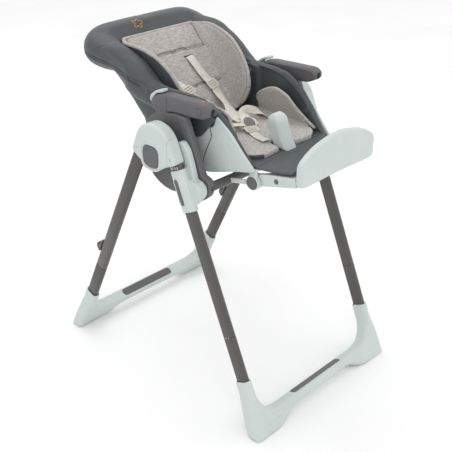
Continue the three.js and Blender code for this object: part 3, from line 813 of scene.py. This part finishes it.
def seat_cover():
    """Dark tub of the seat: padded floor, upholstered side walls and a roll along their edge."""
    rolls = []
    for side in SIDES.values():
        path = smooth_path([chair(side * wall_x(174, y), y, z) for y, z in TUB_EDGE], 6 * MM)
        rolls.append(swept("roll", path, lambda i: circle(8, 16), None, up=(1, 0, 0)))
        low, high = sorted((side * 158, side * 181))
        rolls.append(extruded("gusset", GUSSET, lambda u, v, w: chair(w, u, v), low, high, None))
    rolls.append(extruded("apron", APRON, lambda u, v, w: chair(w, u, v), -160, 160, None))
    cover = remeshed(copy_of("seat_cover", "seat_cushion", *rolls), 3.6, 4)
    inflated(cover, 4)
    subdivided(cover)
    paint_object(cover, "slate")
    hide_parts("seat_cushion")
    bridge_back(cover)


TUB_EDGE = [  # y and z of the roll along the top of the tub's side
    (96, 872),
    (40, 866),
    (0, 866),
    (-50, 864),
    (-90, 856),
    (-142, 826),
    (-172, 797),
    (-177, 784),
    (-166, 770),
    (-150, 758),
]


HIP_EDGE = [  # y and z of the hip wing's edge
    (13, 760),
    (8, 782),
    (-24, 806),
    (-60, 823),
    (-84, 828),
    (-106, 822),
    (-124, 813),
    (-144, 788),
    (-172, 762),
    (-196, 744),
    (-208, 737),
]
HIP_FOOT = 738  # z where the hip wings start to lean in
HIP_LEAN = 0.4


def hip_x(y, z):
    return wall_x(164, y) - HIP_LEAN * max(0, z - HIP_FOOT)


def seat_liner():
    """Melange seat pad with two front lobes and the raised hip wings."""
    liner = remeshed(copy_of("seat_liner", "seat_liner"), 3.0, 6)
    co = coordinates(liner.data)
    x, y, z = co[:, 0] / MM, co[:, 1] / MM + CENTRE_Y, co[:, 2] / MM
    top = ramp_between(z, 730, 736) * ramp_between(-np.abs(x), -150, -138)
    across = np.cos(np.clip(x / 150, -1, 1) * math.pi / 2)
    along = np.cos(np.clip((y + 90) / 145, -1, 1) * math.pi / 2)
    crown = 5.0 * across * along
    seam = groove(np.abs(x) - 30, 4) * ramp_between(-y, -60, -20) * 1.5
    cross = groove(y + 40, 5) * 1.8
    co[:, 2] += (crown - seam - cross) * top * MM
    co[:, 0] -= np.sign(x) * HIP_LEAN * np.maximum(0, z - HIP_FOOT) * MM
    set_coordinates(liner.data, co)
    subdivided(liner)
    paint_object(liner, "liner")
    dark_backs(liner, 95, Vector((0, 0, 1)))
    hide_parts("seat_liner")
    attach(liner, "seat_carriage")
    for name, side in SIDES.items():
        edge = [chair(side * hip_x(y, z), y, z) for y, z in HIP_EDGE]
        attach(cord_along(f"hip_edge_{name}", edge, 4.4, "liner"), "seat_carriage")


FLAP = [(-38, 830), (-134, 830), (-107, 797), (-86, 771), (-64, 762), (-38, 776)]  # y and z
SNAP = [(0, 2.6), (3.4, 2.2), (4.8, 0.8), (5.0, 0)]  # radius and height


def cover_flaps():
    """Flaps of the cover that fold over the side panels and snap on."""
    outline = rounded_outline(FLAP, 14)
    for name, side in SIDES.items():

        def place(u, v, w, side=side):
            return chair(side * wall_x(w, u), u, v)

        flap = extruded(f"cover_flap_{name}", outline, place, 190.6, 196.5, "slate", 2.4)
        snap = lathe(f"flap_snap_{name}", SNAP, place(-66, 782, 196.2), side, "black")
        ride_all([flap, snap], "seat_carriage")


def lathe(name, profile, centre, side, paint, sides=20):
    """A turned button on an axis across the chair; profile is (radius, height) in mm."""
    points = []
    for radius, height in profile:
        for a, b in circle(max(radius, 0.01), sides):
            points.append(centre + Vector((side * height * MM, a, b)))
    faces = [tuple(range(sides))]
    for i in range(len(profile) - 1):
        for k in range(sides):
            m = (k + 1) % sides
            faces.append((i * sides + k, (i + 1) * sides + k, (i + 1) * sides + m, i * sides + m))
    faces.append(tuple(reversed([(len(profile) - 1) * sides + k for k in range(sides)])))
    return new_object(name, points, faces, paint)


# ---------------------------------------------------------------- legrest cover


LEGREST_PROFILE = [  # y, top z and thickness, from the seat to the footplate
    (-230, 724, 5),
    (-248, 724.5, 6),
    (-266, 726, 9),
    (-300, 732, 13),
    (-335, 738.5, 13),
    (-366, 744.5, 12),
]
LEGREST_HALF = 147


def legrest_skin():
    """Rounded cross sections along the profile, closed into one skin."""
    rows = smooth_path([Vector(row) for row in LEGREST_PROFILE], 4)
    half, across = LEGREST_HALF, 60
    points = []
    for y, z, thick in rows:
        for j in range(across):
            a = 2 * math.pi * j / across
            c, d = math.cos(a), math.sin(a)
            x = half * math.copysign(abs(c) ** 0.25, c)
            swell = 0.5 * thick * math.copysign(abs(d) ** 0.6, d) * (0.9 + 0.25 * (1 - (x / half) ** 2))
            points.append(chair(x, y, z - thick / 2 + swell))
    faces = []
    for i in range(len(rows) - 1):
        for j in range(across):
            k = (j + 1) % across
            faces.append((i * across + j, i * across + k, (i + 1) * across + k, (i + 1) * across + j))
    faces.append(tuple(reversed(range(across))))
    faces.append(tuple((len(rows) - 1) * across + j for j in range(across)))
    return new_object("legrest_cover", points, faces)


def legrest_cover():
    """One padded cover from the front of the seat onto the legrest."""
    cover = remeshed(legrest_skin(), 3.2, 4)
    co = coordinates(cover.data)
    x, y = co[:, 0] / MM, co[:, 1] / MM + CENTRE_Y
    seams = groove(np.abs(x) - 128, 3.5) + groove(y + 262 - np.abs(x) * 0.12, 3.5)
    co[:, 2] -= 1.6 * seams * MM
    set_coordinates(cover.data, co)
    subdivided(cover)
    paint_object(cover, "slate")
    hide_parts("legrest_pad")
    bridge_legrest(cover)
    for name, side in SIDES.items():
        edge = [chair(side * LEGREST_HALF, y, z - thick * 0.45) for y, z, thick in LEGREST_PROFILE]
        bridge_legrest(cord_along(f"legrest_piping_{name}", edge, 2.6, "slate"))


# ---------------------------------------------------------------- harness


def harness():
    """Shoulder, lap and crotch straps with their adjusters and slots, and the buckle."""
    shoulder_straps()
    up = Vector((0, 0, 1))
    lower = [*shoulder_ends(up), *lap_belts(up), *crotch_strap(up)]
    ride_all(lower, "seat_carriage")
    buckle()


def shoulder_straps():
    far = [
        on_back(46, -100, 14),
        on_back(47, -106, 22),
        on_back(56, -165, 24),
        on_back(68, -204, 25),
        on_back(68, -246, 30),
        chair(42, 32, 768),
        chair(24, 4, 763),
    ]
    near = [
        on_back(-62, -150, 8),
        on_back(-61, -158, 20),
        on_back(-54, -182, 34),
        on_back(-46, -208, 45),
        on_back(-40, -240, 53),
        chair(-33, 46, 790),
        chair(-21, 16, 777),
    ]
    facing = [OUT] * 6 + [Vector((0, 0, 1))]
    upper = [
        strap("shoulder_strap_left", far, 28, "webbing", facing),
        strap("shoulder_strap_right", near, 28, "webbing", facing),
    ]
    slope_left = on_back(72, -250, 31) - on_back(60, -165, 24)
    slope_right = on_back(-40, -240, 53) - on_back(-54, -182, 34)
    upper.append(ladder_lock("strap_adjuster_left", on_back(68, -204, 26), slope_left, OUT))
    upper.append(ladder_lock("strap_adjuster_right", on_back(-46, -208, 47), slope_right, OUT))
    upper.append(strap_slot("strap_slot_left", 46, -99))
    upper.append(strap_slot("strap_slot_right", -63, -148))
    for obj in upper:
        bridge_back(obj)


def shoulder_ends(up):
    """The stiff ends of the shoulder straps, which clip into the buckle."""
    made = []
    for name, side, start in (("left", 1, chair(24, 8, 763.5)), ("right", -1, chair(-21, 20, 778))):
        end = chair(side * 9, -66, 760)
        middle = (start + end) / 2 + Vector((0, 0, 1)) * MM
        made.append(strap(f"shoulder_end_{name}", [start, middle, end], 26, "webbing", [up] * 3, 3.2))
    return made


def lap_belts(up):
    looped = [
        chair(14, -70, 757),
        chair(24, -40, 768),
        chair(48, -34, 772),
        chair(76, -46, 764),
        chair(96, -62, 750),
        chair(104, -40, 744),
        chair(120, -6, 741),
    ]
    twist = [
        (-0.7, -0.5, 0.6),
        (-0.4, -0.8, 0.5),
        (0, -0.9, 0.4),
        (0.5, -0.8, 0.3),
        (0.9, -0.2, 0.3),
        (0.5, 0.4, 0.7),
        up,
    ]
    flat = [
        chair(-16, -84, 757),
        chair(-46, -70, 761),
        chair(-78, -48, 757),
        chair(-104, -28, 748),
        chair(-126, -6, 742),
    ]
    return [
        strap("lap_belt_left", looped, 24, "webbing", twist),
        strap("lap_belt_right", flat, 24, "webbing", [up] * len(flat)),
    ]


def crotch_strap(up):
    path = [chair(-14, -104, 752), chair(-24, -128, 747), chair(-32, -152, 745), chair(-38, -182, 745)]
    ends = [chair(-36, -172, 746.6), chair(-39, -186, 746.6)]
    slope = chair(-32, -152, 745) - chair(-10, -96, 753)
    return [
        strap("crotch_strap", path, 26, "webbing", [up] * 4),
        strap("crotch_strap_end", ends, 27, "webbing", [up] * 2, 2.6),
        ladder_lock("crotch_adjuster", chair(-17, -112, 751), slope, up),
    ]


def strap_slot(name, x, s):
    """Dark bound slot that a shoulder strap comes out of."""
    outline = rounded_box(17, -2.4, 2.4, 2.4, 4)

    def place(u, v, w):
        return on_back(x + u, s + v, w)

    return extruded(name, outline, place, 13, 19.5, "black", 0.6)


def ladder_lock(name, centre, along, facing):
    """Rectangular strap adjuster with two middle bars."""
    along = Vector(along).normalized()
    facing = Vector(facing).normalized()
    across = along.cross(facing).normalized()
    facing = across.cross(along)

    def place(u, v, w):
        return centre + (across * u + along * v + facing * w) * MM

    outer = [place(u, v, 1.5) for u, v in rounded_box(17, -12, 12, 5, 4)]
    parts = [cord_along("bar", outer, 2.4, None, 2.5, closed=True)]
    for v in (-4, 4):
        bar = [place(u, v, w) for u, w in ((-16, 1.5), (0, 2.4), (16, 1.5))]
        parts.append(cord_along("bar", bar, 2.0, None))
    lock = remeshed(copy_of(name, *parts), 0.8, 2)
    paint_object(lock, "buckle")
    return lock


def buckle():
    """Round-centred release buckle with its pale frame, lying tilted on the child's lap."""
    centre = chair(4, -82, 753)
    tilt = math.radians(38)

    def place(u, v, w):
        c, d = math.cos(tilt), math.sin(tilt)
        return centre + Vector((u, v * c - w * d, v * d + w * c)) * MM

    body = extruded("buckle_body", ellipse(25, 25, 36), place, -8, 5, None, 4)
    wings = extruded("wing", rounded_box(33, -10, 12, 5), place, -7, 2, None, 2)
    tail = extruded("tail", rounded_box(15, -36, 30, 5), place, -7, 2, None, 2)
    shell = remeshed(copy_of("harness_buckle_body", body, wings, tail), 1.1, 5)
    paint_object(shell, "buckle")
    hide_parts("harness_buckle")
    button = extruded("harness_buckle_button", ellipse(18, 18, 36), place, 0, 7.5, "grey_button", 2.4)
    edge = [place(u, v, 5.4) for u, v in ellipse(20.5, 20.5, 24)]
    rim = cord_along("harness_buckle_rim", edge, 1.8, "buckle", closed=True)
    ride_all([shell, button, rim], "seat_carriage")


# ---------------------------------------------------------------- trim


def stitches(name, path, paint, length=4.5, gap=2.5, radius=0.7):
    """A run of short stitches along a path."""
    pts = smooth_path(path, (length + gap) * MM)
    parts = []
    for a, b in zip(pts, pts[1:]):
        ahead = (b - a) * (length / (length + gap))
        parts.append(cord_along("stitch", [a, a + ahead * 0.5, a + ahead], radius, None, 1.0))
    made = copy_of(name, *parts)
    paint_object(made, paint)
    return made


# Turned profiles: radius and height in millimetres.
HOLE_RING = [(4.4, -1.0), (4.4, 0.5), (5.2, 0.9), (6.2, 0.7), (6.6, -1.0)]
SCREW = [(0, 0.4), (1.2, 0.3), (1.3, 1.0), (3.6, 0.8), (4.2, 0.2), (4.2, -0.6)]
DOT = [(0, 0.5), (1.6, 0.4), (2.0, -0.3)]

# |x| of the faces that trim lies on.
HUB_FACE = 293.2
LEG_FACE = 274.5
LEGREST_FACE = 149.6


def trim():
    """Small mouldings, marks and fasteners on the hubs, sliders, arms and legs."""
    for name, side in SIDES.items():
        hub_trim(name, side)
        slider_lip(name, side)
        leg_marks(name, side)
        legrest_holes(name, side)
        arm_mark(name, side)
        panel_lines(name, side)


def hub_trim(name, side):
    square = rounded_outline([(-44, 689), (26, 689), (26, 759), (-44, 759)], 26, 6)
    edge = [chair(side * (HUB_FACE - 0.8), y, z) for y, z in square]
    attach(cord_along(f"hub_ring_{name}", edge, 2.6, "mint", closed=True), "front_frame")
    for number, (y, z) in enumerate(((43, 737), (-84, 736))):
        place = chair(side * (HUB_FACE - 0.6), y, z)
        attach(lathe(f"hub_screw_{number}_{name}", SCREW, place, side, "steel"), "front_frame")


def slider_lip(name, side):
    lip = [on_front_leg(side * 283.2, across, up) for across, up in rounded_box(8.6, 672, 744, 8.6, 6)]
    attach(cord_along(f"slider_lip_{name}", lip, 1.5, "mint", closed=True), "seat_carriage")


def leg_marks(name, side):
    """Two dots low on the leg and the strokes of the height scale."""
    for number, across in enumerate((-5, 5)):
        place = on_front_leg(side * LEG_FACE, across, 296)
        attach(lathe(f"leg_dot_{number}_{name}", DOT, place, side, "white"), "front_frame")
    stroke = rounded_box(1.6, -4, 4, 1.2, 3)
    for number, (across, up) in enumerate(((-11, 770), (-2, 771), (7, 772), (13, 773))):

        def place(u, v, w, across=across, up=up):
            return on_front_leg(side * w, across + u, up + v)

        low, high = LEG_FACE - 0.3, LEG_FACE + 0.4
        mark = extruded(f"height_mark_{number}_{name}", stroke, place, low, high, "white")
        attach(mark, "front_frame")


def legrest_holes(name, side):
    for number, y in enumerate((-334, -356)):
        place = chair(side * LEGREST_FACE, y, 700 - 0.22 * (y + 311))
        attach(lathe(f"legrest_hole_{number}_{name}", HOLE_RING, place, side, "mint"), "legrest")


def arm_mark(name, side):
    def place(u, v, w):
        return chair(side * (209 + u), -120 + v * 1.6, w)

    mark = extruded(f"arm_mark_{name}", ellipse(4.2, 2.6, 20), place, 878.4, 880.4, "red", 0.5)
    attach(mark, "seat_carriage")


def panel_lines(name, side):
    """The parting line and the pressed crease of the seat's side panel."""
    line = [(-110, 798), (-114, 782), (-113, 771), (-103, 748), (-91, 719), (-86, 699), (-87, 684)]
    parting = cord_along(f"panel_parting_{name}", [on_wall(side, y, z) for y, z in line], 1.1, "black")
    curve = [(-115, 782), (-133, 780), (-148, 772), (-161, 751), (-170, 729), (-176, 706)]
    crease = cord_along(f"panel_crease_{name}", [on_wall(side, y, z) for y, z in curve], 0.7, "mint")
    ride_all([parting, crease], "seat_carriage")


def on_wall(side, y, z):
    """A point just proud of the side panel's outer face."""
    return chair(side * wall_x(190.1, y), y, z)


def on_surface(obj, points, lift=0.0):
    """The points moved onto the object's skin, lifted from it by some millimetres."""
    moved = []
    for point in points:
        _, place, normal, _ = obj.closest_point_on_mesh(point)
        moved.append(place + normal * lift * MM)
    return moved


def head_motif(cover):
    """A generic stitched flower on the head roll."""
    petals, turns = 5, 60
    points = []
    for k in range(turns + 1):
        t = 2 * math.pi * k / turns
        r = 14 + 4.5 * math.cos(petals * t)
        points.append(on_back(-50 + r * math.cos(t), 44 + r * math.sin(t), 6))
    path = on_surface(cover, points, 0.3)
    return bridge_back(cord_along("head_motif", path, 0.8, "orange", 1.6))


def roll_stitching(cover):
    """The seam along the outside of the roll, with a row of stitches on either side."""
    for name, side in SIDES.items():
        for row, offset in enumerate((-4.5, 4.5)):
            path = on_surface(cover, beside_roll(side, offset), 0.2)
            bridge_back(stitches(f"roll_stitching_{row}_{name}", path, "thread"))
        path = on_surface(cover, beside_roll(side, 0), -0.4)
        bridge_back(cord_along(f"roll_seam_{name}", path, 1.1, "black", 5.0))


def beside_roll(side, offset):
    """The seam's line, offset along n and held off outside the roll."""
    return smooth_path([on_back(side * ROLL_OUTSIDE, s, n + offset) for s, n in RIM_SEAM], 6 * MM)


def liner_crease_shade_lines(liner):
    """Painted crease shade: fine dark cords sunk into the grooves where the liner's panels are sewn
    together.
    """
    lines = [[on_back(x, s, 20) for x in np.linspace(-124, 124, 24)] for s in CROSS_SEAMS]
    for side in SIDES.values():
        lines.append([on_back(side * (CREASE + 2 * t), -6 - 280 * t, 13) for t in np.linspace(0, 1, 40)])
    for number, line in enumerate(lines):
        # painted shade: each cord sits just under the skin, in the seam's groove
        path = on_surface(liner, line, -0.3)
        bridge_back(cord_along(f"liner_crease_shade_{number}", path, 1.1, "seam", 4.0))


# ---------------------------------------------------------------- studio


CAMERA_PLACE = (-1.5984, -1.5383, 1.5770)
CAMERA_AIM = (0, -0.0086, 0.4077)
CAMERA_ROLL = math.radians(0.19)
CAMERA_LENS, CAMERA_SENSOR = 66.5, 36
LAMPS = (  # name, place, size and power
    ("key", (-2.6, -2.2, 3.4), 2.6, 26),
    ("fill", (2.8, -2.6, 2.2), 3.0, 14),
    ("top", (0.2, 1.6, 3.6), 2.4, 24),
)
LAMP_AIM = (0, 0, 0.6)


def studio():
    """A pale floor in soft white light, seen from the front right."""
    pale_floor(30)
    white_world()
    for lamp in LAMPS:
        soft_lamp(*lamp)
    add_camera()


def pale_floor(half):
    corners = [(-half, -half, 0), (half, -half, 0), (half, half, 0), (-half, half, 0)]
    floor = new_object("floor", corners, [(0, 1, 2, 3)])
    paint = Paint("studio_floor", (0.92, 0.92, 0.92), 0.9)
    paint.colour(paint.ramp(paint.noise(2, 2), (0.3, (0.9, 0.9, 0.9)), (0.7, (0.93, 0.93, 0.93))))
    floor.data.materials.append(paint.material)


def white_world():
    world = bpy.data.worlds.new("studio")
    world.use_nodes = True
    background = world.node_tree.nodes["Background"]
    background.inputs["Color"].default_value = (1, 1, 1, 1)
    background.inputs["Strength"].default_value = 1.0
    bpy.context.scene.world = world
    bpy.context.scene.view_settings.view_transform = "Standard"


def towards(place, target):
    """The rotation of a lamp or camera at place that looks at target."""
    return (Vector(target) - Vector(place)).to_track_quat("-Z", "Y")


def soft_lamp(name, place, size, power):
    light = bpy.data.lights.new(name, "AREA")
    light.size = size
    light.energy = power
    lamp = bpy.data.objects.new(name, light)
    lamp.location = place
    lamp.rotation_euler = towards(place, LAMP_AIM).to_euler()
    bpy.context.scene.collection.objects.link(lamp)


def add_camera():
    data = bpy.data.cameras.new("camera")
    data.lens = CAMERA_LENS
    data.sensor_width = CAMERA_SENSOR
    camera = bpy.data.objects.new("camera", data)
    turn = towards(CAMERA_PLACE, CAMERA_AIM).to_matrix().to_4x4()
    camera.matrix_world = Matrix.Translation(CAMERA_PLACE) @ turn @ Matrix.Rotation(CAMERA_ROLL, 4, "Z")
    bpy.context.scene.collection.objects.link(camera)
    bpy.context.scene.camera = camera


studio()
paint_hard_parts()
cover = back_cover()
liner = back_liner()
liner_binding()
seat_cover()
seat_liner()
cover_flaps()
legrest_cover()
harness()
trim()
head_motif(cover)
roll_stitching(cover)
liner_crease_shade_lines(liner)
